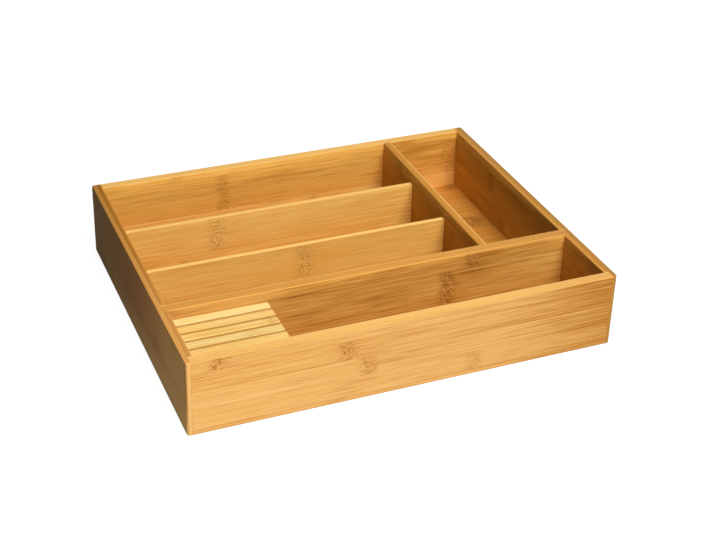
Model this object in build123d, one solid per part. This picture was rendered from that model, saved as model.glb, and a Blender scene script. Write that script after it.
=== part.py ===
from build123d import *
import os

# Cutlery tray of laminated bamboo boards, with a knife block that lifts out of its front compartment.
# Lengths are in millimetres. X runs along the length, Y from the front to the back, Z up.
# The origin is in the middle of the underside.

# Outer size
tray_length = 360.0
tray_depth = 290.0
tray_height = 65.0

# Board thicknesses
side_thickness = 8.0
end_thickness = 8.5
long_divider_thickness = 9.5
cross_divider_thickness = 7.0
short_divider_thickness = 4.2
base_thickness = 5.0

# Levels above the underside
base_raise = 3.5
short_divider_top = 56.0
knife_block_top = 56.0

# Compartments: four rows of equal depth, and one bay along the right wall
row_count = 4
side_bay_width = 69.0

# Joints between the boards
front_lap = 4.0
housing_depth = 4.0
groove_depth = 4.0
stub_length = 2.5
stub_drop = 8.0
tongue_thickness = 2.2
joint_gap = 0.1

# Rounded and eased edges
corner_radius = 2.5
rim_radius = 1.0
divider_edge_radius = 0.8
divider_end_radius = 2.0
slat_edge_radius = 0.4

# Knife block: slats on edge, held apart by low spacers, so that knife blades stand in the slots
knife_block_length = 79.5
knife_slat_count = 6
knife_slot_width = 2.4
knife_slot_depth = 35.0
knife_block_clearance = 0.3

# How far a cutting tool runs past the face that it leaves
overrun = 5.0

# Planes that the sizes above give
outer_x = tray_length / 2
outer_y = tray_depth / 2
inner_x = outer_x - side_thickness
inner_y = outer_y - end_thickness
front_end_x = inner_x + front_lap
housed_x = inner_x + housing_depth
base_top = base_raise + base_thickness

bay_left = inner_x - side_bay_width
cross_left = bay_left - cross_divider_thickness

boards_across = long_divider_thickness + (row_count - 2) * short_divider_thickness
row_depth = (2 * inner_y - boards_across) / row_count
long_front = -inner_y + row_depth
long_back = long_front + long_divider_thickness


def block(x_low, x_high, y_low, y_high, z_low, z_high):
    """A square-edged block between two opposite corners."""
    corner = Pos(x_low, y_low, z_low)
    lengths = (x_high - x_low, y_high - y_low, z_high - z_low)
    return corner * Box(*lengths, align=(Align.MIN, Align.MIN, Align.MIN))


def ease(shape, along, point, radius):
    """Sands the edge that runs along one axis and passes nearest to a point."""
    edge = shape.edges().filter_by(along).sort_by_distance(point)[0]
    return fillet(edge, radius)


def inner_rim_rounding():
    """The sliver sanded off the left wall's inner top edge, between the front wall and the back wall."""
    edge_x = -inner_x - rim_radius
    edge_z = tray_height - rim_radius
    strip = block(edge_x, overrun - inner_x, -inner_y, inner_y, edge_z, tray_height + overrun)
    rounded = Pos(edge_x, 0, edge_z) * Rot(90, 0, 0) * Cylinder(rim_radius, 2 * inner_y)
    return strip - rounded


def side_wall():
    """The left wall without pockets. Its front end is thinned, so that it covers the front wall's end."""
    wall = block(-outer_x, -inner_x, -outer_y, outer_y, 0, tray_height)
    for end in (-outer_y, outer_y):
        wall = ease(wall, Axis.Z, (-outer_x, end, 0), corner_radius)
    for level in (-1, 0):
        outline = wall.faces().sort_by(Axis.Z)[level].edges()
        wall = fillet(outline.sort_by(Axis.X)[:-1], rim_radius)
    wall -= inner_rim_rounding()
    wall -= block(
        -front_end_x, overrun - inner_x,
        -outer_y - overrun, -inner_y,
        -overrun, tray_height + overrun,
    )
    wall -= block(
        -inner_x - groove_depth, overrun - inner_x,
        -inner_y - overrun, inner_y + groove_depth,
        base_raise, base_top + joint_gap,
    )
    wall -= block(
        -housed_x, overrun - inner_x,
        long_front - joint_gap, long_back + joint_gap,
        base_top, tray_height + overrun,
    )
    return wall


def short_divider_front_face(row):
    """Y of the front face of the short divider behind the given row, counted from the long divider."""
    return long_back + row * row_depth + (row - 1) * short_divider_thickness


def tongue_housing(x_low, x_high, row):
    """The pocket that takes the tongue on an end of a short divider."""
    middle = short_divider_front_face(row) + short_divider_thickness / 2
    half = tongue_thickness / 2 + joint_gap
    z_high = short_divider_top - stub_drop + joint_gap
    return block(x_low, x_high, middle - half, middle + half, base_top, z_high)


def left_wall():
    wall = side_wall()
    for row in range(1, row_count - 1):
        wall -= tongue_housing(-inner_x - stub_length - joint_gap, overrun - inner_x, row)
    return wall


def right_wall():
    return mirror(side_wall(), about=Plane.YZ)


def cross_housing(y_low, y_high):
    """The pocket that takes an end stub of the cross divider. It stops short of the top."""
    return block(
        cross_left - joint_gap, bay_left + joint_gap,
        y_low, y_high,
        base_top, tray_height - stub_drop + joint_gap,
    )


def front_wall():
    """Lies between the thinned front ends of the side walls."""
    wall = block(-inner_x, inner_x, -outer_y, -inner_y, 0, tray_height)
    wall = ease(wall, Axis.X, (0, -inner_y, tray_height), rim_radius)
    end = front_end_x - joint_gap
    for low, high in ((-end, -inner_x), (inner_x, end)):
        wall += block(low, high, -outer_y, -inner_y - joint_gap, 0, tray_height)
    for level in (0, tray_height):
        wall = ease(wall, Axis.X, (0, -outer_y, level), rim_radius)
    wall -= block(
        -outer_x, outer_x,
        -inner_y - groove_depth, overrun - inner_y,
        base_raise, base_top + joint_gap,
    )
    return wall


def back_wall():
    """Stands between the side walls, and takes the far stub of the cross divider in a pocket."""
    end = inner_x - joint_gap
    wall = block(-end, end, inner_y, outer_y, 0, tray_height)
    wall = ease(wall, Axis.X, (0, inner_y, tray_height), rim_radius)
    for level in (0, tray_height):
        wall = ease(wall, Axis.X, (0, outer_y, level), rim_radius)
    wall -= block(
        -outer_x, outer_x,
        inner_y - overrun, inner_y + groove_depth,
        base_raise, base_top + joint_gap,
    )
    wall -= cross_housing(inner_y - overrun, inner_y + stub_length + joint_gap)
    return wall


def base_panel():
    """Lies in the grooves of the four walls and carries the dividers."""
    reach_x = inner_x + groove_depth - joint_gap
    reach_y = inner_y + groove_depth - joint_gap
    return block(-reach_x, reach_x, -reach_y, reach_y, base_raise, base_top)


def long_divider():
    """Runs from side wall to side wall, with its ends housed in both."""
    board = block(-inner_x, inner_x, long_front, long_back, base_top, tray_height)
    for face in (long_front, long_back):
        board = ease(board, Axis.X, (0, face, tray_height), rim_radius)
    end = housed_x - joint_gap
    for low, high in ((-end, -inner_x), (inner_x, end)):
        board += block(low, high, long_front, long_back, base_top, tray_height)
    board -= cross_housing(long_back - stub_length - joint_gap, long_back + overrun)
    return board


def cross_divider():
    """Closes the rows off from the right-hand bay, from the long divider to the back wall."""
    near = long_back + joint_gap
    far = inner_y - joint_gap
    board = block(cross_left, bay_left, near, far, base_top, tray_height)
    for face in (cross_left, bay_left):
        board = ease(board, Axis.Y, (face, inner_y, tray_height), rim_radius)
    for low, high in ((near - stub_length, near), (far, far + stub_length)):
        board += block(cross_left, bay_left, low, high, base_top, tray_height - stub_drop)
    for row in range(1, row_count - 1):
        board -= tongue_housing(cross_left - overrun, cross_left + stub_length + joint_gap, row)
    return board


def short_divider(row):
    """A thin, lower board between two rows, eased all round. The tongues on its ends are out of sight."""
    y_low = short_divider_front_face(row)
    y_high = y_low + short_divider_thickness
    x_low = joint_gap - inner_x
    x_high = cross_left - joint_gap
    board = block(x_low, x_high, y_low, y_high, base_top, short_divider_top)
    for x in (x_low, x_high):
        board = ease(board, Axis.Y, (x, y_low, short_divider_top), divider_end_radius)
    for side in (0, -1):
        outline = board.faces().sort_by(Axis.Y)[side].edges().sort_by(Axis.Z)
        board = fillet(outline[1:], divider_edge_radius)
    margin = (short_divider_thickness - tongue_thickness) / 2
    board += block(
        x_low - stub_length, x_high + stub_length,
        y_low + margin, y_high - margin,
        base_top, short_divider_top - stub_drop,
    )
    return board


knife_block_left = knife_block_clearance - inner_x
knife_block_right = knife_block_left + knife_block_length
knife_block_back = long_front - knife_block_clearance
knife_block_width = row_depth - 2 * knife_block_clearance
knife_slats_together = knife_block_width - (knife_slat_count - 1) * knife_slot_width
knife_slat_thickness = knife_slats_together / knife_slat_count
knife_slat_pitch = knife_slat_thickness + knife_slot_width


def knife_slat(number):
    """One slat on edge, counted from the long divider towards the front."""
    y_high = knife_block_back - (number - 1) * knife_slat_pitch
    y_low = y_high - knife_slat_thickness
    slat = block(knife_block_left, knife_block_right, y_low, y_high, base_top, knife_block_top)
    return fillet(slat.faces().sort_by(Axis.Z)[-1].edges(), slat_edge_radius)


def knife_spacer(number):
    """The low strip that keeps a slat apart from the next one and closes the slot below."""
    y_high = knife_block_back - knife_slat_thickness - (number - 1) * knife_slat_pitch
    y_low = y_high - knife_slot_width
    z_high = knife_block_top - knife_slot_depth
    return block(knife_block_left, knife_block_right, y_low, y_high, base_top, z_high)


parts = {
    "left_wall": left_wall(),
    "right_wall": right_wall(),
    "front_wall": front_wall(),
    "back_wall": back_wall(),
    "base_panel": base_panel(),
    "long_divider": long_divider(),
    "cross_divider": cross_divider(),
    "short_divider_front": short_divider(1),
    "short_divider_rear": short_divider(2),
}
for number in range(1, knife_slat_count + 1):
    parts[f"knife_slat_{number}"] = knife_slat(number)
for number in range(1, knife_slat_count):
    parts[f"knife_spacer_{number}"] = knife_spacer(number)

os.makedirs("parts", exist_ok=True)
for name, shape in parts.items():
    export_step(shape, f"parts/{name}.step")
print("row depth", round(row_depth, 2), "slat thickness", round(knife_slat_thickness, 2))
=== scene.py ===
# %% [markdown]
# # A cutlery tray of laminated bamboo
#
# The tray is a shallow box of bamboo boards. Four long rows hold forks, spoons and knives, one bay
# runs along the right wall, and a small block with slots for knife blades lifts out at the front.
# The boards' shapes come ready made. This script gives them their bamboo, and sets up the camera,
# the floor and the light.

# %% Load the frame
import math

import bmesh
import bpy
from mathutils import Matrix, Vector


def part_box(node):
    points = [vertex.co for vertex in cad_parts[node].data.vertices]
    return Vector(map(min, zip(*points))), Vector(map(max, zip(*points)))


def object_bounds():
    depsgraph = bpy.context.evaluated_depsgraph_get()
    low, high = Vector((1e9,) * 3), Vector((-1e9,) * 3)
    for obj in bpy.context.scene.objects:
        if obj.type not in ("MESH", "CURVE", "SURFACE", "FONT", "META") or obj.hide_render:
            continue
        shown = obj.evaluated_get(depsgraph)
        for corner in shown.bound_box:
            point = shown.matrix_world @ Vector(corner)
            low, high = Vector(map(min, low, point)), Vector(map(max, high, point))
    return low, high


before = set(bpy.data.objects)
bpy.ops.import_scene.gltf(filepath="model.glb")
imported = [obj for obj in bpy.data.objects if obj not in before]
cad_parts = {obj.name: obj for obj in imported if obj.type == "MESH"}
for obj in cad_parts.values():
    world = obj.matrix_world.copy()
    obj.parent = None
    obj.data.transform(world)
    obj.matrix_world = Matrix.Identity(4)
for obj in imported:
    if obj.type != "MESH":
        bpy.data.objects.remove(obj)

cad_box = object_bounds()
size_mm = [round(1000 * side) for side in cad_box[1] - cad_box[0]]
print("tray, length, depth and height in mm:", size_mm)
print("boards:", sorted(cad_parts))

# %% [markdown]
# ## Two helpers
#
# Colours are easiest to pick as hex values, as a paint program gives them. Those are sRGB values,
# while a shader works with linear light, so one function turns the one into the other.
#
# A material is a tree of nodes. Adding a node takes several lines each time, one for the node, one
# for each setting and one for each link. The second helper does all of that in one call. An input
# gets either a plain value or the output of another node. Some nodes, such as Mix, carry several
# sockets with one name and switch on only those that fit the data type, so the helper looks only at
# the ones that are switched on.


# %% Colours and nodes
def linear(hex_colour):
    """An sRGB hex colour as linear red, green, blue and alpha."""
    channels = [int(hex_colour[i:i + 2], 16) / 255 for i in (1, 3, 5)]
    curve = [c / 12.92 if c <= 0.04045 else ((c + 0.055) / 1.055) ** 2.4 for c in channels]
    return (*curve, 1.0)


def add(tree, kind, inputs, **settings):
    """Adds one node with its settings, fills or links its inputs, and gives its first live output."""
    node = tree.nodes.new(kind)
    for name, value in settings.items():
        setattr(node, name, value)
    for name, value in inputs.items():
        if isinstance(name, int):
            socket = node.inputs[name]
        else:
            socket = [s for s in node.inputs if s.enabled and s.name == name][0]
        if isinstance(value, bpy.types.NodeSocket):
            tree.links.new(value, socket)
        else:
            socket.default_value = value
    return [s for s in node.outputs if s.enabled][0]


print("the colour #808080 in linear light:", round(linear("#808080")[0], 3))

# %% [markdown]
# ## Camera
#
# The tray is seen from the front left, from rather high above. The walls' upright edges stay almost
# parallel in the picture, which a camera that looks down can only do with its lens shifted, so the
# camera looks a little higher than the tray and the shift brings the tray back into the middle.
#
# Three turns place the camera: it tips up from looking straight down, rolls by a small angle about
# its own axis, and turns about the upright axis.

# %% Camera
image_width = 710
camera_place = (-0.41032, -0.99318, 0.67918)
camera_tip = 61.37
camera_heading = -22.96
camera_roll = 1.669
focal_pixels = 1472.3
shift_pixels = -80

camera_data = bpy.data.cameras.new("camera")
camera_data.sensor_width = 36
camera_data.lens = focal_pixels / image_width * camera_data.sensor_width
camera_data.shift_y = shift_pixels / image_width
camera_data.clip_start = 0.05
camera_data.clip_end = 50
camera = bpy.data.objects.new("camera", camera_data)
bpy.context.scene.collection.objects.link(camera)
turn = Matrix.Rotation(math.radians(camera_heading), 4, "Z")
turn = turn @ Matrix.Rotation(math.radians(camera_tip), 4, "X")
turn = turn @ Matrix.Rotation(math.radians(camera_roll), 4, "Z")
camera.matrix_world = Matrix.Translation(camera_place) @ turn
bpy.context.scene.camera = camera
print("lens in mm:", round(camera_data.lens, 2), "shift:", round(camera_data.shift_y, 4))

# %% [markdown]
# ## Floor and background
#
# A product picture has a white ground: matt paper, which shows no gloss and no edge. More light
# would make it white, but would bleach the bamboo too. Instead the paper itself is a middle grey,
# which throws little light back onto the tray's dark sides. For the rays that come from the camera,
# or from a shiny surface or glass, it gets some light of its own, almost up to white. Where the tray
# keeps the lamps' light off, only that is left, so the tray's shadow stays on the floor.
#
# The world is done the same way: white where it is looked at, and dim where it only lights things.

# %% Floor and background
floor_size = 12.0
floor_glow = 0.95
ambient_level = 0.05


def looked_at(tree):
    """1 for the rays of the camera, of glossy surfaces and of glass, and 0 for light that bounces."""
    ways = add(tree, "ShaderNodeLightPath", {}).node.outputs
    seen = add(
        tree, "ShaderNodeMath", {0: ways["Is Camera Ray"], 1: ways["Is Glossy Ray"]}, operation="MAXIMUM"
    )
    return add(
        tree, "ShaderNodeMath", {0: seen, 1: ways["Is Transmission Ray"]}, operation="MAXIMUM"
    )


world = bpy.data.worlds.new("studio")
bpy.context.scene.world = world
world.use_nodes = True
tree = world.node_tree
tree.nodes.clear()
dim = add(tree, "ShaderNodeBackground", {"Color": linear("#FFFFFF"), "Strength": ambient_level})
white = add(tree, "ShaderNodeBackground", {"Color": linear("#FFFFFF"), "Strength": 1.0})
either = add(tree, "ShaderNodeMixShader", {0: looked_at(tree), 1: dim, 2: white})
output = tree.nodes.new("ShaderNodeOutputWorld")
tree.links.new(either, output.inputs["Surface"])

shape = bmesh.new()
bmesh.ops.create_grid(shape, x_segments=1, y_segments=1, size=floor_size / 2)
floor_mesh = bpy.data.meshes.new("floor")
shape.to_mesh(floor_mesh)
shape.free()
floor = bpy.data.objects.new("floor", floor_mesh)
bpy.context.scene.collection.objects.link(floor)

paper = bpy.data.materials.new("matt_backdrop_paper")
paper.use_nodes = True
tree = paper.node_tree
tree.nodes.clear()
own_light = add(tree, "ShaderNodeMath", {0: looked_at(tree), 1: floor_glow}, operation="MULTIPLY")
lit = add(tree, "ShaderNodeBsdfDiffuse", {"Color": linear("#747474")})
glow = add(tree, "ShaderNodeEmission", {"Color": linear("#FFFFFF"), "Strength": own_light})
surface = add(tree, "ShaderNodeAddShader", {0: lit, 1: glow})
output = tree.nodes.new("ShaderNodeOutputMaterial")
tree.links.new(surface, output.inputs["Surface"])
floor_mesh.materials.append(paper)
print("floor side in m:", floor_size, "its own light:", floor_glow)

# %% [markdown]
# ## Light
#
# Rims and the front are bright, the faces that look to the left are dark, and the slots of the knife
# block are dark although they are seen from the front. So the main light is a large soft panel high
# above the front. A second panel low in front lights the outside of the front wall, and the walls
# keep its light out of the rows. A third stands low behind the tray on the right. It hardly shows
# from the front, but lights the back and the right side for whoever walks round the tray. The
# world's dim light fills the rest.
#
# An area lamp's light falls off with distance, so its power follows from the level that is wanted on
# a surface that faces it, where 1 makes a colour render as bright as it is written. For a panel that
# looks straight at the tray, that takes the level times pi squared times the distance squared.

# %% Light
panels = {
    "panel_above": {
        "direction": (0.12, -0.54, 0.84), "distance": 2.0, "size": (0.9, 0.9), "level": 1.12,
    },
    "panel_in_front": {
        "direction": (-0.36, -0.93, 0.1), "distance": 1.1, "size": (0.5, 0.14), "level": 0.36,
    },
    "panel_behind": {
        "direction": (0.66, 0.75, 0.09), "distance": 1.4, "size": (0.8, 0.2), "level": 0.8,
    },
}
for name, panel in panels.items():
    lamp_data = bpy.data.lights.new(name, "AREA")
    lamp_data.shape = "RECTANGLE"
    lamp_data.size, lamp_data.size_y = panel["size"]
    lamp_data.energy = panel["level"] * math.pi ** 2 * panel["distance"] ** 2
    lamp = bpy.data.objects.new(name, lamp_data)
    bpy.context.scene.collection.objects.link(lamp)
    direction = Vector(panel["direction"]).normalized()
    aim = direction.to_track_quat("Z", "Y").to_matrix().to_4x4()
    lamp.matrix_world = Matrix.Translation(direction * panel["distance"]) @ aim
    print(name, "in watts:", round(lamp_data.energy, 1))

# %% [markdown]
# ## Bamboo: where each point lies in the board
#
# Laminated bamboo is made of the walls of bamboo stems, split into strips, planed flat, steamed,
# and glued side by side and in layers. So a board isn't one piece of wood. Each strip has its own
# shade and its own knots, and fine glue lines run between the strips.
#
# The shader first works out where a point lies. Object coordinates are in metres, so a Mapping node
# turns them into millimetres, and turns them so that the grain runs along X, the board's thickness
# along Y and its width along Z. Dividing the width by the strips' width and rounding down gives the
# strip's number, and the distance from the strip's middle comes from the same division. A point
# behind the plane where the two layers meet is in the second layer.
#
# A colour ramp with constant steps works as a small table. Each strip has one step. Red says where
# its knot is, green how light the strip is, and blue how strong the knot shows.
#
# Some boards get darker towards one end. That is painted shade, for light that falls off across the
# tray or that the walls keep off. The painted shade is a number that is added to the shade, from
# nothing at one place along the board to all of it at another.

# %% Strips and layers
knot_reach = 400.0


def board_places(tree, board):
    """Millimetres along, through and across the grain, and what the board's table says there."""
    points = add(tree, "ShaderNodeTexCoord", {}).node.outputs["Object"]
    millimetres = add(
        tree, "ShaderNodeMapping",
        {"Vector": points, "Scale": (1000, 1000, 1000), "Rotation": board["turn"]},
    )
    along, through, across = add(tree, "ShaderNodeSeparateXYZ", {0: millimetres}).node.outputs
    from_line = add(
        tree, "ShaderNodeMath", {0: across, 1: board["first_line"]}, operation="SUBTRACT"
    )
    in_strips = add(
        tree, "ShaderNodeMath", {0: from_line, 1: board["strip_width"]}, operation="DIVIDE"
    )
    from_middle = add(tree, "ShaderNodeMath", {0: in_strips, 1: 0.5}, operation="SUBTRACT")
    from_middle = add(tree, "ShaderNodeMath", {0: from_middle, 1: 0.5}, operation="PINGPONG")
    strip = add(tree, "ShaderNodeMath", {0: in_strips}, operation="FLOOR")
    layer = add(
        tree, "ShaderNodeMath", {0: through, 1: board["layer_line"]}, operation="GREATER_THAN"
    )
    steps = len(board["strips"])
    number = add(
        tree, "ShaderNodeMath", {0: layer, 1: steps / 2, 2: strip}, operation="MULTIPLY_ADD"
    )
    step = add(
        tree, "ShaderNodeMath", {0: number, 1: 1 / steps, 2: 0.5 / steps}, operation="MULTIPLY_ADD"
    )
    table = add(tree, "ShaderNodeValToRGB", {"Fac": step})
    ramp = table.node.color_ramp
    ramp.interpolation = "CONSTANT"
    ramp.elements.remove(ramp.elements[1])
    for i, (knot, tone, strength) in enumerate(board["strips"]):
        stop = ramp.elements[0] if i == 0 else ramp.elements.new(i / steps)
        stop.position = i / steps
        stop.color = (knot / knot_reach + 0.5, tone, strength, 1)
    knot, tone, strength = add(tree, "ShaderNodeSeparateColor", {0: table}).node.outputs
    # Painted shade along the board: the shade changes from one place to another, for light that falls off.
    start, end, change = board["painted_shade_along"]
    painted_shade_along = add(
        tree, "ShaderNodeMapRange",
        {"Value": along, "From Min": start, "From Max": end, "To Max": change},
        interpolation_type="SMOOTHSTEP",
    )
    return {
        "points": millimetres, "along": along, "through": through, "across": across,
        "from_middle": from_middle, "number": number,
        "knot": knot, "tone": tone, "strength": strength, "painted_shade_along": painted_shade_along,
    }


print("a strip's knot can lie up to", knot_reach / 2, "mm from the board's middle")

# %% [markdown]
# ## Bamboo: fibres
#
# Bamboo has no growth rings. What shows on a planed strip are its fibre bundles: fine straight lines
# along the grain, some pale and some brown, which start and end after a few centimetres. They are
# thin rods, so they show as lines on every side of a board and as dots on its ends.
#
# Noise that is stretched along the grain draws such rods. Three sizes are laid over each other: the
# bundles themselves, long bands of several bundles, and slow clouds. A fourth noise draws single
# brown lines, and a fifth the patches in which those gather. Each strip reads the noise at its own
# random place, or the fibres would run on from one strip into the next.
#
# The finest bundles are about 0.3 mm wide. They are drawn 0.5 mm wide here, and the bands 0.9 mm, so
# that they still show from the camera's distance.

# %% Fibres
noises = {
    "bundle": {"size": (40, 0.5, 0.5), "detail": 3.0},
    "band": {"size": (170, 0.9, 0.9), "detail": 2.0},
    "cloud": {"size": (70, 14, 14), "detail": 2.0},
    "dark_line": {"size": (45, 0.6, 0.6), "detail": 1.0},
    "patch": {"size": (50, 9, 9), "detail": 1.0},
}
furthest_start = 900


def fibres(tree, places, seed):
    """Noise fields that run along the grain, each different from strip to strip."""
    cell = add(tree, "ShaderNodeCombineXYZ", {0: places["number"], 1: seed})
    chance = add(tree, "ShaderNodeTexWhiteNoise", {"Vector": cell}).node.outputs
    start = add(
        tree, "ShaderNodeVectorMath", {0: chance["Color"], 1: 3 * [furthest_start]}, operation="MULTIPLY"
    )
    local = add(tree, "ShaderNodeVectorMath", {0: places["points"], 1: start}, operation="ADD")
    fields = {"local": local, "chance": chance["Value"]}
    for name, noise in noises.items():
        scaled = add(
            tree, "ShaderNodeVectorMath",
            {0: local, 1: [1 / side for side in noise["size"]]}, operation="MULTIPLY",
        )
        fields[name] = add(
            tree, "ShaderNodeTexNoise", {"Vector": scaled, "Scale": 1.0, "Detail": noise["detail"]}
        )
    return fields


for name, noise in noises.items():
    print(name, "is drawn", noise["size"][0], "mm long and", noise["size"][1], "mm wide")

# %% [markdown]
# ## Bamboo: knots
#
# At each joint of the stem the fibres bend and cross. After planing, that shows as a patch over the
# whole width of one strip, a little browner than the rest, full of short dashes, some dark and some
# pale, with a few dark streaks that trail off to one side.
#
# The patch is the distance from the knot's place, measured along the grain and made ragged by
# noise. The knots come back after the length between two joints of a stem, which Wrap does. The dark
# dashes are a short, stubby noise that is turned one way, and the pale dashes are one that is turned
# the other way, so that they cross as the fibres do. The finest real dashes are too thin to show
# from here, so they are drawn 1.1 mm wide.

# %% Knots
knot_half = 8.0
knot_edge = 1.3 * knot_half
knot_bow = 5.0
knot_sway = 9.0
knot_ragged = 14.0
dash_size = (3.2, 1.1, 1.1)
dash_angle = math.radians(22)
dark_dash_levels = (0.47, 0.6)
pale_dash_levels = (0.5, 0.64)
tail_start = (-1.5 * knot_half, 0.5 * knot_half)
tail_length = 95.0
tail_levels = (0.48, 0.66)


def knots(tree, places, fields, internode):
    """How much of a knot's brown, of its dark and pale dashes and of its streaks each point has."""
    dashes = [
        add(
            tree, "ShaderNodeTexNoise",
            {
                "Vector": add(
                    tree, "ShaderNodeMapping",
                    {"Vector": fields["local"], "Rotation": (0, angle, 0), "Scale": dash_size},
                    vector_type="TEXTURE",
                ),
                "Scale": 1.0, "Detail": 1.0,
            },
        )
        for angle in (dash_angle, -dash_angle)
    ]
    place = add(
        tree, "ShaderNodeMath",
        {0: places["knot"], 1: knot_reach, 2: -knot_reach / 2}, operation="MULTIPLY_ADD",
    )
    offset = add(tree, "ShaderNodeMath", {0: places["along"], 1: place}, operation="SUBTRACT")
    offset = add(
        tree, "ShaderNodeMath", {0: offset, 1: internode / 2, 2: -internode / 2}, operation="WRAP"
    )
    sway = add(
        tree, "ShaderNodeMath",
        {0: fields["patch"], 1: knot_sway, 2: -knot_sway / 2}, operation="MULTIPLY_ADD",
    )
    bent = add(tree, "ShaderNodeMath", {0: offset, 1: sway}, operation="ADD")
    bent = add(
        tree, "ShaderNodeMath",
        {0: places["from_middle"], 1: knot_bow, 2: bent}, operation="MULTIPLY_ADD",
    )
    distance = add(tree, "ShaderNodeMath", {0: bent}, operation="ABSOLUTE")
    ragged = add(
        tree, "ShaderNodeMath", {0: dashes[1], 1: knot_ragged, 2: distance}, operation="MULTIPLY_ADD"
    )
    inside = add(
        tree, "ShaderNodeMapRange",
        {"Value": ragged, "From Min": knot_ragged / 2 + knot_edge, "From Max": knot_ragged / 2},
        interpolation_type="SMOOTHSTEP",
    )
    brown = add(tree, "ShaderNodeMath", {0: inside, 1: places["strength"]}, operation="MULTIPLY")
    marks = {"brown": brown}
    for name, noise, levels in (
        ("dark", dashes[0], dark_dash_levels), ("pale", dashes[1], pale_dash_levels),
    ):
        dash = add(
            tree, "ShaderNodeMapRange",
            {"Value": noise, "From Min": levels[0], "From Max": levels[1]},
            interpolation_type="SMOOTHSTEP",
        )
        marks[name] = add(tree, "ShaderNodeMath", {0: dash, 1: brown}, operation="MULTIPLY")
    tail = places["strength"]
    for value, none, full in (
        (bent, tail_length, 0.0),
        (bent, *tail_start),
        (fields["band"], *tail_levels),
    ):
        share = add(
            tree, "ShaderNodeMapRange",
            {"Value": value, "From Min": none, "From Max": full}, interpolation_type="SMOOTHSTEP",
        )
        tail = add(tree, "ShaderNodeMath", {0: share, 1: tail}, operation="MULTIPLY")
    marks["tail"] = tail
    return marks


print("a knot is about", 2 * knot_half, "mm long, and its streaks", tail_length, "mm")

# %% [markdown]
# ## Bamboo: shade
#
# A strip isn't one colour: pale and brown bundles lie side by side, and the strip as a whole is
# lighter or darker than its neighbours.
#
# The noise fields are added up with a weight each, less their mean, so that the sum lies around zero.
# The board's contrast stretches it, and the strip's own tone is added. A colour ramp from a dark over
# a middle to a light shade reads the result. Steaming doesn't colour all strips alike, so each leans a
# little towards a warmer shade, by a chance of its own.

# %% Shade
weights = {"bundle": 0.85, "band": 0.5, "cloud": 0.3}
noise_mean = 0.5
ramp_places = {"dark": 0.1, "body": 0.5, "light": 0.9}
warm_share = 0.18


def strip_colour(tree, board, places, fields):
    """The colour of the plain bamboo."""
    streaks = -noise_mean * sum(weights.values())
    for field, weight in weights.items():
        streaks = add(
            tree, "ShaderNodeMath", {0: fields[field], 1: weight, 2: streaks}, operation="MULTIPLY_ADD"
        )
    shade = add(
        tree, "ShaderNodeMath",
        {0: streaks, 1: board["contrast"], 2: places["tone"]}, operation="MULTIPLY_ADD",
    )
    # The board's painted shade along it is added here.
    shade = add(tree, "ShaderNodeMath", {0: shade, 1: places["painted_shade_along"]}, operation="ADD")
    colour = add(tree, "ShaderNodeValToRGB", {"Fac": shade})
    ramp = colour.node.color_ramp
    ramp.interpolation = "EASE"
    ramp.elements.new(ramp_places["body"])
    for stop, (shade_name, place) in zip(ramp.elements, ramp_places.items()):
        stop.position = place
        stop.color = linear(board["shades"][shade_name])
    warm = add(tree, "ShaderNodeMath", {0: fields["chance"], 1: warm_share}, operation="MULTIPLY")
    return add(
        tree, "ShaderNodeMix",
        {"Factor": warm, "A": colour, "B": linear(board["shades"]["warm"])}, data_type="RGBA",
    )


print("the ramp goes from dark at", ramp_places["dark"], "to light at", ramp_places["light"])

# %% [markdown]
# ## Bamboo: fibre lines and glue lines
#
# Some fibre bundles are much browner than the rest. They show as single brown lines, a few together.
# The glue between two strips shows as a hair-thin brown line too, here and there stronger, and more
# where painted shade darkens a board.
#
# The fibre lines are the peaks of a long, thin noise, and a second noise leaves them only in
# patches. A glue line is the distance to the nearest edge of a strip or of a layer. A real glue line
# is a tenth of a millimetre wide. It is drawn about 0.4 mm wide, so that it shows.

# %% Fibre lines and glue lines
line_levels = (0.6, 0.72)
patch_levels = (0.4, 0.62)
line_share = 0.5
glue_half = 0.22
glue_edge = (1.5 * glue_half, 0.5 * glue_half)
cloud_levels = (0.35, 0.65)
glue_shares = (0.1, 0.6)
glue_in_painted_shade = -2.4


def fibre_lines(tree, fields):
    """How brown a single fibre line is at each point."""
    share = line_share
    for field, (none, full) in (("dark_line", line_levels), ("patch", patch_levels)):
        found = add(
            tree, "ShaderNodeMapRange",
            {"Value": fields[field], "From Min": none, "From Max": full},
            interpolation_type="SMOOTHSTEP",
        )
        share = add(tree, "ShaderNodeMath", {0: found, 1: share}, operation="MULTIPLY")
    return share


def glue_lines(tree, board, places, fields):
    """How strong a glue line is at each point."""
    side_gap = add(
        tree, "ShaderNodeMath",
        {0: places["from_middle"], 1: -board["strip_width"], 2: board["strip_width"] / 2},
        operation="MULTIPLY_ADD",
    )
    layer_gap = add(
        tree, "ShaderNodeMath", {0: places["through"], 1: board["layer_line"]}, operation="SUBTRACT"
    )
    layer_gap = add(tree, "ShaderNodeMath", {0: layer_gap}, operation="ABSOLUTE")
    gap = add(tree, "ShaderNodeMath", {0: side_gap, 1: layer_gap}, operation="MINIMUM")
    line = add(
        tree, "ShaderNodeMapRange",
        {"Value": gap, "From Min": glue_edge[0], "From Max": glue_edge[1]},
        interpolation_type="SMOOTHSTEP",
    )
    uneven = add(
        tree, "ShaderNodeMapRange",
        {
            "Value": fields["cloud"], "From Min": cloud_levels[0], "From Max": cloud_levels[1],
            "To Min": glue_shares[0], "To Max": glue_shares[1],
        },
    )
    # Glue lines show more where the painted shade darkens the board.
    uneven = add(
        tree, "ShaderNodeMath",
        {0: places["painted_shade_along"], 1: glue_in_painted_shade, 2: uneven}, operation="MULTIPLY_ADD", use_clamp=True,
    )
    return add(tree, "ShaderNodeMath", {0: line, 1: uneven}, operation="MULTIPLY")


print("a glue line is drawn", 2 * glue_half, "mm wide")
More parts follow.
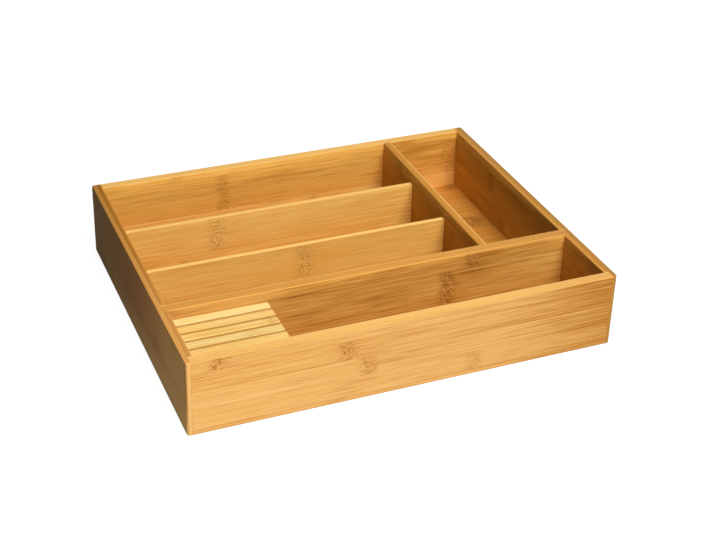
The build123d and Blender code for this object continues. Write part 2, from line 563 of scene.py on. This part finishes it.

# %% [markdown]
# ## Bamboo: sanded places and painted light
#
# The boards are planed before they are glued together, and the finished tray is sanded along its
# tops and edges. That brings out fresh fibres, lighter than the face of the board or darker, as the
# strip there happens to be. Many zones paint light and shade, though: highlights on eased edges,
# edges lighter towards the lamps and darker away from them, and painted shade low down in the rows,
# in the knife block's slots and on faces that look away from the light.
#
# Each board has a list of such zones. A zone says for one or more directions where its tint starts
# and from where on it is full, and then which tint it is and how much of it there is. The zones lie
# over everything else: sanding takes the marks of the old surface off, and painted light and shade go
# over all the marks.


# %% Sanded places and painted light
def sanded(tree, board, places, colour):
    """The colour with the tints of the board's sanded zones, and of its painted light and shade, over it.
    """
    for zone, tint, amount in board["sanded"]:
        share = amount
        for direction, (start, full) in zone.items():
            reached = add(
                tree, "ShaderNodeMapRange",
                {"Value": places[direction], "From Min": start, "From Max": full},
            )
            share = add(tree, "ShaderNodeMath", {0: reached, 1: share}, operation="MULTIPLY")
        colour = add(
            tree, "ShaderNodeMix", {"Factor": share, "A": colour, "B": linear(tint)}, data_type="RGBA"
        )
    return colour


print("a sanded zone can be bounded along, through and across the grain")

# %% [markdown]
# ## Bamboo: finish
#
# The boards are sanded fine and rubbed with a thin satin lacquer. It fills the pores, so only the
# largest fibres can be felt, which a weak bump shows. To the eye that is a smooth board with a calm,
# even glow, and no mirror image in it. The lacquer's index of refraction is near 1.5, as for most
# varnish, and its roughness changes a little from band to band.
#
# Everything round the tray is white. Reflected at a low angle, that would lie as a grey veil on the
# dark sides. So the level of the reflection is turned down almost to nothing.
#
# The marks go over the plain colour one after another: brown fibre lines, glue lines, the brown of a
# knot and its streaks, its dark dashes and its pale dashes. A board's four marks say how much of the
# knots' brown, dark dashes, pale dashes and streaks it shows.

# %% Finish of the bamboo
fibre_depth = 0.00004
bump_strength = 0.6
band_levels = (0.3, 0.7)
roughness_range = (0.44, 0.56)
lacquer_ior = 1.47
reflection_level = 0.004


def bamboo(name, board, seed):
    """Lacquered laminated bamboo for one board."""
    material = bpy.data.materials.new(name)
    material.use_nodes = True
    tree = material.node_tree
    tree.nodes.clear()
    places = board_places(tree, board)
    fields = fibres(tree, places, seed)
    marks = knots(tree, places, fields, board["internode"])
    for mark, share in zip(("brown", "dark", "pale", "tail"), board["marks"]):
        marks[mark] = add(tree, "ShaderNodeMath", {0: marks[mark], 1: share}, operation="MULTIPLY")
    brown = add(tree, "ShaderNodeMath", {0: marks["brown"], 1: marks["tail"]}, operation="MAXIMUM")
    line = fibre_lines(tree, fields)
    glue = glue_lines(tree, board, places, fields)

    colour = strip_colour(tree, board, places, fields)
    for share, shade_name in (
        (line, "fibre"), (glue, "fibre"), (brown, "fibre"),
        (marks["dark"], "knot"), (marks["pale"], "speck"),
    ):
        colour = add(
            tree, "ShaderNodeMix",
            {"Factor": share, "A": colour, "B": linear(board["shades"][shade_name])},
            data_type="RGBA",
        )
    colour = sanded(tree, board, places, colour)

    lows = add(tree, "ShaderNodeMath", {0: line, 1: glue}, operation="ADD")
    lows = add(tree, "ShaderNodeMath", {0: lows, 1: marks["dark"]}, operation="ADD")
    height = add(tree, "ShaderNodeMath", {0: fields["bundle"], 1: lows}, operation="SUBTRACT")
    bump = add(
        tree, "ShaderNodeBump",
        {"Height": height, "Strength": bump_strength, "Distance": fibre_depth},
    )
    roughness = add(
        tree, "ShaderNodeMapRange",
        {
            "Value": fields["band"], "From Min": band_levels[0], "From Max": band_levels[1],
            "To Min": roughness_range[0], "To Max": roughness_range[1],
        },
    )
    surface = add(
        tree, "ShaderNodeBsdfPrincipled",
        {
            "Base Color": colour, "Roughness": roughness, "Normal": bump,
            "IOR": lacquer_ior, "Specular IOR Level": reflection_level,
        },
    )
    output = tree.nodes.new("ShaderNodeOutputMaterial")
    tree.links.new(surface, output.inputs["Surface"])
    print(name, "has", len(tree.nodes), "nodes")
    return material


print("fibres stand out by", 1000 * fibre_depth, "mm")

# %% [markdown]
# ## Shades
#
# Steaming under pressure turns bamboo from straw yellow to honey, and the longer it lasts, the
# browner the bamboo gets. The front and left walls are honey, the back wall and the short dividers
# gold, the right wall and the cross divider a duller olive, the long divider umber, and the base
# russet, the brownest. Umber and russet are darker partly as painted shade: the long divider stands
# in the front wall's shade, and the base lies low in the tray. The knife block's slats weren't
# steamed: natural bamboo stays pale, straw or amber, with little contrast between its fibres.
#
# Each set has the ramp's three shades, the warm shade, the browns of the fibres and knots, and the
# pale specks in the knots.

# %% Shades
honey = {
    "dark": "#B8782E", "body": "#E6B066", "light": "#F8D08A",
    "warm": "#E49E4C", "fibre": "#B87028", "knot": "#A0601C", "speck": "#FFD086",
}
gold = {
    "dark": "#BC7C28", "body": "#F0B858", "light": "#FFD680",
    "warm": "#EAA042", "fibre": "#BC7226", "knot": "#9C5E18", "speck": "#FFE286",
}
olive = {
    "dark": "#A87A28", "body": "#DCB056", "light": "#F2CC7A",
    "warm": "#D29E46", "fibre": "#A06C26", "knot": "#8C5A1C", "speck": "#E8BC66",
}
# Darker partly as painted shade: the long divider stands in the front wall's shade.
umber = {
    "dark": "#9C6222", "body": "#DFA64E", "light": "#F6C872",
    "warm": "#DC9038", "fibre": "#9C5A1A", "knot": "#804A10", "speck": "#F2BE66",
}
# Darker partly as painted shade: the base lies low in the tray.
russet = {
    "dark": "#925820", "body": "#C88636", "light": "#DEA24E",
    "warm": "#B87030", "fibre": "#8A4E1A", "knot": "#744216", "speck": "#D89A4C",
}
straw = {
    "dark": "#E0AC54", "body": "#F6D88C", "light": "#FFECB0",
    "warm": "#F6CE84", "fibre": "#DCA05A", "knot": "#C08040", "speck": "#FFECB0",
}
amber = {
    "dark": "#DCA24A", "body": "#F8CE7A", "light": "#FEE09A",
    "warm": "#F0B864", "fibre": "#CC8640", "knot": "#B07034", "speck": "#FFDC8C",
}
print("shades from straw to russet:", [s["body"] for s in (straw, amber, gold, honey, umber, russet)])

# %% [markdown]
# ## The front and back walls
#
# Each board gets a material of its own, because each is glued up from its own strips. Its table
# says which shades it has and how much its fibres stand out, how the grain is turned, where the
# lowest glue line lies, how wide the strips are, where the two layers meet and how far apart the
# joints of a stem are, in millimetres from the tray's middle. A board of one layer has its layer line
# far outside it. After the marks, the painted shade along the board and the zones, sanded or painted
# light and shade, come the strips of the first layer, and on a board with two layers then those of
# the second, each with its knot's place, its tone and the strength of its knot.
#
# These two walls are glued from strips about 17 mm wide, one above the other. Their tops are sanded
# flat and their edges eased. The flat and the two edges each get a tint: partly the fresh fibres
# that sanding bared, partly painted light, a highlight where an eased edge turns to the lamps and
# painted shade where it turns away. A helper reads from the frame where the board's faces and its
# top are, and makes three zones of that. The front wall gets darker to the right, on its face and
# its top: painted shade, where the lamps' light falls off. The back wall is darker low down and at
# its right end, painted shade where the walls keep light off, and it is lighter low down in the bay.

# %% The front and back walls
straight = (0, 0, 0)
one_layer = 900
no_painted_shade = (0, 180, 0.0)

half_length, half_depth, tray_top = [1000 * side for side in cad_box[1]]
top_of_wall = (tray_top - 0.7, tray_top - 0.4)
flat_depths = (0.7, 0.4)
edge_depths = (1.1, 0.7)
edge_widths = (1.5, 1.1)


def faces_and_top(node, turn):
    """The places of a board's two faces through the grain, and of its top across the grain."""
    low, high = [1000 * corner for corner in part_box(node)]
    if turn == straight:
        return low.y, high.y, high.z
    return -high.x, -low.x, high.z


def rim_with_painted_light(node, turn, low_tint, flat_tint, high_tint, amounts):
    """The tints of a board's top, partly sanded fibres and partly painted highlight and shade: its edge at
    one face, its flat middle, its edge at the other face.
    """
    low_face, high_face, top = faces_and_top(node, turn)
    flat_height = [top - depth for depth in flat_depths]
    edge_height = [top - depth for depth in edge_depths]
    low_edge = [low_face + width for width in edge_widths]
    high_edge = [high_face - width for width in edge_widths]
    return (
        ({"across": flat_height}, flat_tint, amounts[1]),
        ({"across": edge_height, "through": low_edge}, low_tint, amounts[0]),
        ({"across": edge_height, "through": high_edge}, high_tint, amounts[2]),
    )


boards = {
    "front_wall": {
        "shades": honey, "contrast": 1.0, "turn": straight,
        "first_line": -12.35, "strip_width": 16.85, "layer_line": one_layer, "internode": 345,
        # The fade darkens the face to the right: painted shade, where the lamps' light falls off.
        "marks": (0.5, 0.7, 0.4, 0.35), "painted_shade_along": (60, 190, -0.25),
        "sanded": (
            *rim_with_painted_light("front_wall", straight, "#D2A054", "#F2BC6A", "#FFD488", (0.8, 0.8, 0.6)),
            # Painted shade: the top gets browner to the right, where the light falls off.
            ({"across": top_of_wall, "along": (60, 170)}, "#D09A54", 0.5),
        ),
        "strips": [
            (-60, 0.46, 0.3), (55.5, 0.53, 0.4), (-34, 0.47, 0.7), (-52, 0.4, 0.9), (-152.5, 0.42, 1.0),
        ],
    },
    "back_wall": {
        "shades": gold, "contrast": 1.3, "turn": straight,
        "first_line": -11.5, "strip_width": 17.5, "layer_line": one_layer, "internode": 227,
        # The fade darkens the right end: painted shade, where the walls keep light off.
        "marks": (0.45, 0.6, 0.2, 0.5), "painted_shade_along": (80, 120, -0.16),
        "sanded": (
            # Painted shade: darker low down in the rows.
            ({"across": (60, 30)}, "#B87C34", 0.16),
            ({"across": (36, 14), "along": (100, 104), "through": (138, 137)}, "#F8BC6C", 0.6),
            *rim_with_painted_light("back_wall", straight, "#E8B460", "#F6C274", "#FFD692", (0.7, 0.75, 0.6)),
        ),
        "strips": [
            (-120, 0.46, 0.4), (28, 0.64, 0.4), (-61, 0.45, 0.9), (-61.5, 0.42, 0.6), (-104, 0.52, 0.5),
        ],
    },
}
for node, board in boards.items():
    print(node, "has strips", board["strip_width"], "mm wide, the lowest line at", board["first_line"])

# %% [markdown]
# ## The side walls
#
# The side walls run from front to back, so their grain is turned a quarter about the upright axis.
# Then along is Y, and through is X with its sign changed, so the left wall's outer face is at 180
# and the right wall's at -180. Each is glued from two layers, and on the left wall's top the glue
# line between them shows as a dark line with a lighter one beside it. The left wall also has painted
# light and shade, for light that comes from the front: the wall darkens towards the back, its outer
# face is pale low down at the front and brown and olive grey at the back, its top edge is lighter at
# the front and darker at the back, and a dark line runs along its outer top edge and down its front
# corner, where the lit faces meet the shaded side. The right wall's inner layer is darker, and
# browner still low down in the front compartment: painted shade on a face that looks away from the
# light. The front ends of both walls are cut across the fibres and show on the tray's front, in their
# own tint. The right one is darker, painted shade like the front's right end.

# %% The side walls
quarter = math.pi / 2
front_to_back = (0, 0, -quarter)
edge_of_wall = (tray_top - 1.0, tray_top - 0.7)
outer_face = (half_length - 1.0, half_length - 0.6)
left_end = (0.8 - half_depth, 0.6 - half_depth)
right_end = (0.5 - half_depth, 0.2 - half_depth)

boards["left_wall"] = {
    "shades": honey, "contrast": 1.0, "turn": front_to_back,
    "first_line": -12.35, "strip_width": 16.85, "layer_line": 176, "internode": 320,
    # The fade darkens the wall towards the back: painted shade, as the light comes from the front.
    "marks": (0.4, 0.5, 0.3, 0.4), "painted_shade_along": (-145, 70, -0.55),
    "sanded": (
        *rim_with_painted_light("left_wall", front_to_back, "#C88838", "#B87A2C", "#DCA050", (0.7, 0.75, 0.7)),
        ({"across": top_of_wall, "through": (172.9, 173.3)}, "#B4742A", 0.8),
        ({"across": top_of_wall, "through": (174.6, 175.0)}, "#A06420", 0.8),
        ({"across": top_of_wall, "through": (175.6, 175.8)}, "#D09448", 0.9),
        # Painted light: the top edge lighter at the front and darker at the back.
        ({"across": edge_of_wall, "along": (20, -90)}, "#ECB068", 0.35),
        ({"across": edge_of_wall, "along": (10, 130)}, "#8C5A24", 0.35),
        # Painted shade: a dark line along the outer top edge, where the lit top meets the shaded side.
        ({"across": (63.6, 63.9), "through": (179.3, 179.6)}, "#7A4A18", 0.8),
        ({"along": left_end}, "#E6B068", 0.8),
        # Painted shade: a dark line down the front corner, where the lit front meets the shaded side.
        ({"along": (-142.0, -142.4), "through": (178.9, 179.1)}, "#9A6630", 0.9),
        # Painted light and shade on the outer face: pale at the front and low down, brown and olive at the
        # back.
        ({"through": outer_face, "along": (130, 10)}, "#E8A860", 0.35),
        ({"through": outer_face, "along": (-100, 0)}, "#8A5028", 0.5),
        ({"through": outer_face, "along": (0, 120)}, "#8E7848", 0.6),
        ({"through": outer_face, "across": (26, 6), "along": (110, -60)}, "#FFCC84", 0.75),
    ),
    "strips": [
        (60, 0.35, 0.6), (-70, 0.35, 0.6), (90, 0.3, 0.7), (-20, 0.3, 0.8), (112, 0.22, 0.9),
        (-30, 0.82, 0.5), (20, 0.77, 0.6), (-60, 0.72, 0.7), (80, 0.68, 0.6), (-110, 0.68, 0.4),
    ],
}
boards["right_wall"] = {
    "shades": olive, "contrast": 0.8, "turn": front_to_back,
    "first_line": -12.35, "strip_width": 16.85, "layer_line": -176, "internode": 320,
    # The fade darkens the front end: painted shade, as at the front's right end.
    "marks": (0.35, 0.5, 0.2, 0.5), "painted_shade_along": (-135, -138, -0.15),
    "sanded": (
        *rim_with_painted_light("right_wall", front_to_back, "#A87030", "#BE7E3A", "#E4A04C", (0.6, 0.7, 0.7)),
        ({"across": top_of_wall, "through": (-175.5, -176.5)}, "#A07838", 0.5),
        # The front end's darker tint is painted shade, like the front's right end.
        ({"along": right_end}, "#C08644", 0.8),
        # Painted shade: browner low down on the inner face in the front compartment.
        ({"along": (-70, -74), "across": (50, 20), "through": (-174, -173)}, "#8A5C20", 0.35),
    ),
    "strips": [
        (-40, 0.45, 0.6), (30, 0.45, 0.6), (-90, 0.45, 0.7), (100, 0.45, 0.8), (-10, 0.3, 0.6),
        # The inner layer's strips are darker: painted shade on the face that looks away from the light.
        (90, 0.4, 0.5), (38, 0.37, 0.7), (-60, 0.37, 0.6), (64, 0.37, 0.9), (-120, 0.36, 0.4),
    ],
}
for node in ("left_wall", "right_wall"):
    print(node, "has its layers meet at", boards[node]["layer_line"])

# %% [markdown]
# ## The base panel
#
# The base is one wide panel of many strips side by side, in two layers, and it lies flat in the
# walls' grooves. So its grain is turned about the long axis: through is Z, and across is Y with its
# sign changed. It is the brownest board, partly as painted shade: it lies low in the tray, where the
# walls and dividers keep much of the light off.

# %% The base panel
flat = (-quarter, 0, 0)

boards["base_panel"] = {
    "shades": russet, "contrast": 1.2, "turn": flat,
    "first_line": -144.0, "strip_width": 18.0, "layer_line": 6.0, "internode": 330,
    "marks": (0.5, 0.7, 0.3, 0.5), "painted_shade_along": no_painted_shade, "sanded": (),
    "strips": [
        (30, 0.5, 0.5), (-120, 0.55, 0.6), (90, 0.45, 0.6), (-20, 0.5, 0.6), (140, 0.5, 0.6),
        (-80, 0.5, 0.5), (60, 0.55, 0.6), (-150, 0.45, 0.6), (10, 0.5, 0.6), (120, 0.5, 0.6),
        (-60, 0.5, 0.5), (80, 0.55, 0.6), (-110, 0.45, 0.6), (40, 0.5, 0.6), (-10, 0.5, 0.6),
        (100, 0.5, 0.5),
        (166, 0.6, 0.7), (-60, 0.6, 0.6), (30, 0.62, 0.6), (-110, 0.6, 0.6), (158, 0.5, 1.0),
        (70, 0.45, 0.6), (-20, 0.5, 0.6), (120, 0.5, 0.6), (-140, 0.5, 0.6), (20, 0.55, 0.6),
        (-90, 0.5, 0.6), (60, 0.45, 0.6), (-30, 0.5, 0.6), (110, 0.5, 0.6), (-130, 0.5, 0.6),
        (10, 0.5, 0.6),
    ],
}
print("the base has", len(boards["base_panel"]["strips"]), "strips, the most that a colour ramp takes")

# %% [markdown]
# ## The dividers
#
# The long divider is a tall board with strong brown streaks. It is darker low down, and its top gets
# browner to the right: painted shade, in the row and where the light falls off. Behind the knife
# block it was sanded when the block was fitted, so it is paler there. The cross divider runs from
# front to back, and is darker low down on its left face, which is painted shade. The two short
# dividers are thin and lower, and darker low down, painted shade in the rows too. Each is planed from
# two wide strips, and its top is sanded round. Its tints there paint a highlight: one fine bright
# line, with its front edge a little browner.

# %% The dividers
thin_top_depths = (0.5, 0.3)
thin_front_depths = (0.9, 0.8)
thin_back_depths = (0.9, 0.7)
thin_edge_widths = (0.8, 0.6)


def thin_rim_with_painted_highlight(node, front_tint, top_tint, back_tint):
    """The tints of a short divider's rounded top, which paint a highlight: its front edge, its middle and
    its back edge.
    """
    front, back, top = faces_and_top(node, straight)
    front_height = [top - depth for depth in thin_front_depths]
    top_height = [top - depth for depth in thin_top_depths]
    back_height = [top - depth for depth in thin_back_depths]
    front_edge = [front + width for width in thin_edge_widths]
    back_edge = [back - width for width in thin_edge_widths]
    return (
        ({"across": front_height, "through": front_edge}, front_tint, 0.9),
        ({"across": top_height}, top_tint, 1.0),
        ({"across": back_height, "through": back_edge}, back_tint, 1.0),
    )


boards["long_divider"] = {
    "shades": umber, "contrast": 1.8, "turn": straight,
    "first_line": -11.0, "strip_width": 31.0, "layer_line": one_layer, "internode": 330,
    "marks": (0.6, 0.6, 0.6, 0.45), "painted_shade_along": no_painted_shade,
    "sanded": (
        ({"along": (-91, -94), "through": (-71, -72)}, "#C89858", 0.55),
        # Painted shade: darker low down in the row.
        ({"across": (50, 20)}, "#9C6220", 0.22),
        *rim_with_painted_light("long_divider", straight, "#DCA050", "#D8994A", "#F6C070", (0.75, 0.8, 0.8)),
        # Painted shade: the top browner to the right, where the light falls off.
        ({"across": top_of_wall, "along": (60, 165)}, "#B07C3C", 0.35),
    ),
    "strips": [(-140, 0.5, 0.5), (66.7, 0.5, 1.0), (89, 0.45, 0.8)],
}
boards["cross_divider"] = {
    "shades": olive, "contrast": 0.6, "turn": front_to_back,
    "first_line": -11.0, "strip_width": 31.0, "layer_line": one_layer, "internode": 330,
    "marks": (0.35, 0.4, 0.2, 0.4), "painted_shade_along": no_painted_shade,
    "sanded": (
        # Painted shade: darker low down on the left face.
        ({"across": (50, 25), "through": (-96.3, -96.1)}, "#8A5A1C", 0.35),
        *rim_with_painted_light("cross_divider", front_to_back, "#F8C474", "#CC8838", "#C48438", (0.75, 0.8, 0.8)),
    ),
    "strips": [(60, 0.4, 0.5), (-10, 0.4, 0.8), (100, 0.38, 0.6)],
}
boards["short_divider_front"] = {
    "shades": gold, "contrast": 1.2, "turn": straight,
    "first_line": -8.0, "strip_width": 32.0, "layer_line": one_layer, "internode": 330,
    "marks": (0.35, 0.3, 1.0, 0.15), "painted_shade_along": no_painted_shade,
    "sanded": (
        # Painted shade: darker low down in the rows.
        ({"across": (42, 18)}, "#B47630", 0.16),
        *thin_rim_with_painted_highlight("short_divider_front", "#E0A852", "#FBCA76", "#FCC46E"),
    ),
    "strips": [(-81, 0.56, 0.35), (-32, 0.62, 0.9)],
}
boards["short_divider_rear"] = {
    "shades": gold, "contrast": 1.2, "turn": straight,
    "first_line": -8.0, "strip_width": 32.0, "layer_line": one_layer, "internode": 330,
    "marks": (0.35, 0.25, 1.0, 0.1), "painted_shade_along": no_painted_shade,
    "sanded": (
        # Painted shade: darker low down in the rows.
        ({"across": (42, 18)}, "#B4742E", 0.18),
        *thin_rim_with_painted_highlight("short_divider_rear", "#DCA44E", "#F8C672", "#F8C06A"),
    ),
    "strips": [(-115, 0.54, 0.35), (-88, 0.63, 0.9)],
}
print("boards in the table:", list(boards))

# %% [markdown]
# ## Dressing the boards
#
# A board's shape came with empty or plain material slots. They are cleared, and the board's own
# bamboo goes in. Each board passes another seed, so no two have the same fibres.


# %% Dressing the boards
def dress(node, material):
    """Gives a board its material."""
    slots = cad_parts[node].data.materials
    slots.clear()
    slots.append(material)


for seed, (node, board) in enumerate(boards.items()):
    dress(node, bamboo(f"lacquered_bamboo_{node}", board, seed))

# %% [markdown]
# ## The knife block
#
# The block is six slats on edge with low spacers between them. Seen from above, each slat shows
# only its narrow edge, so the slats count as the strips here: they lie side by side along Y, and
# the same flat turn as for the base panel counts them. It is natural bamboo, planed and sanded: pale,
# and with finer marks than the steamed boards. Two of the slats are straw yellow and the others
# amber, as the offcuts came. Their sides are browner just below the top edge: painted shade in the
# narrow slots, where little light gets in.

# %% The knife block
pale_seed = 21
golden_seed = 22
block_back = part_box("knife_slat_1")[1].y
slat_pitch = 1000 * (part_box("knife_slat_1")[0].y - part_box("knife_slat_2")[0].y)
slats = {
    "contrast": 1.6, "turn": flat,
    "first_line": -1000 * block_back - slat_pitch / 10, "strip_width": slat_pitch,
    "layer_line": one_layer, "internode": 330,
    "marks": (0.2, 0.6, 0.3, 0.1), "painted_shade_along": no_painted_shade,
    # Painted shade: the slats' sides are darker just below the top, in the slots.
    "sanded": (({"through": (55.9, 55.3)}, "#CC9440", 0.6),),
    "strips": [
        (60, 0.5, 0.0), (60, 0.5, 0.0), (-97, 0.5, 0.8), (-115, 0.48, 0.5), (60, 0.5, 0.0), (60, 0.6, 0.0),
    ],
}
pale = bamboo("natural_bamboo_pale_slats", {**slats, "shades": straw}, pale_seed)
golden = bamboo("natural_bamboo_golden_slats", {**slats, "shades": amber}, golden_seed)
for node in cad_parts:
    if node in ("knife_slat_1", "knife_slat_4"):
        dress(node, pale)
    elif node.startswith("knife_"):
        dress(node, golden)
print("slats every", round(slat_pitch, 2), "mm")

# %% [markdown]
#
# Last, the picture is shown with the Standard view transform, so that a colour renders as it is
# written.

bpy.context.scene.view_settings.view_transform = "Standard"
